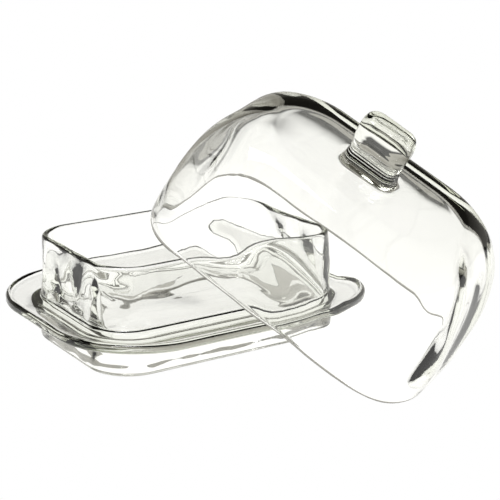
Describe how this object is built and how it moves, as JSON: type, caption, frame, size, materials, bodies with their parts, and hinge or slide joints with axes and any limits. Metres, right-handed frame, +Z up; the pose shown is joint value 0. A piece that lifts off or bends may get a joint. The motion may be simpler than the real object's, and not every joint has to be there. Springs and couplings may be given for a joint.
{
  "type": "butter dish",
  "caption": "Clear glass butter dish: raised rectangular well on a lipped tray, and a tall loaf-shaped cover with a block knob, leaning off the dish.",
  "frame": {"origin": "centre of the foot's underside, on the surface that the dish stands on", "axes": "+X along the dish's long side, +Y away from the side that the cover leans on, +Z up"},
  "size_m": [0.1896, 0.2358, 0.1349],
  "materials": {
    "dish_glass": "fire-polished clear pressed glass",
    "cover_glass": "fire-polished clear pressed glass"
  },
  "bodies": {
    "dish": {"dish": "dish_glass"},
    "lid": {"lid_cover": "cover_glass", "lid_knob": "cover_glass"}
  },
  "joints": [
    {"name": "lid_lift", "type": "slide", "parent": "dish", "child": "lid", "axis": [0, 0, 1], "range_m": [0, 0.08]}
  ]
}
